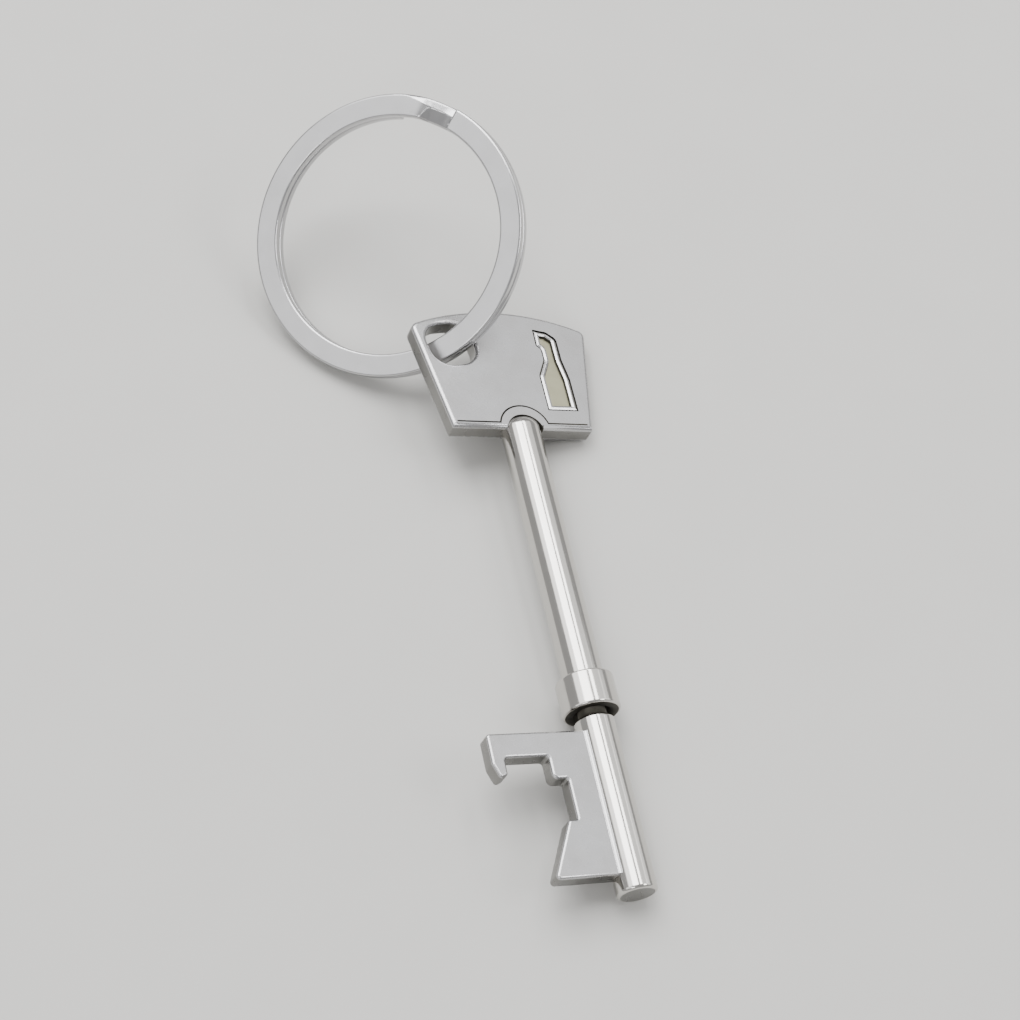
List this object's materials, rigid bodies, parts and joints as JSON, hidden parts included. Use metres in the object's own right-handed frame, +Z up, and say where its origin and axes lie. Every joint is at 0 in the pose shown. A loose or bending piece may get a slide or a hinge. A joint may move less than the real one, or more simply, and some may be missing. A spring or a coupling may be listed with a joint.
{
  "type": "keychain bottle opener",
  "caption": "Key-shaped bottle opener: a flat bow, a round shank with a collar and a hooked blade, hanging from a flat split ring threaded through the bow.",
  "frame": {"origin": "bottom centre of the whole object as it lies on a level surface", "axes": "+Z up, +Y along the object from the blade's end towards the ring, +X across it, away from the blade"},
  "size_m": [0.0408, 0.0836, 0.0189],
  "materials": {
    "satin_plate": "satin",
    "bright_plate": "polished",
    "ring_wire": "satin"
  },
  "bodies": {
    "key": {"bow_plate": "satin_plate", "shank_rod": "bright_plate", "collar": "bright_plate", "bit_barrel": "bright_plate", "bit_blade": "satin_plate"},
    "ring": {"split_ring": "ring_wire"}
  },
  "joints": [
    {"name": "ring_turn", "type": "hinge", "parent": "key", "child": "ring", "pos_m": [-0.00611, 0.02815, 0.00945], "axis": [-0.3537, -0.4617, 0.8134], "continuous": true}
  ]
}
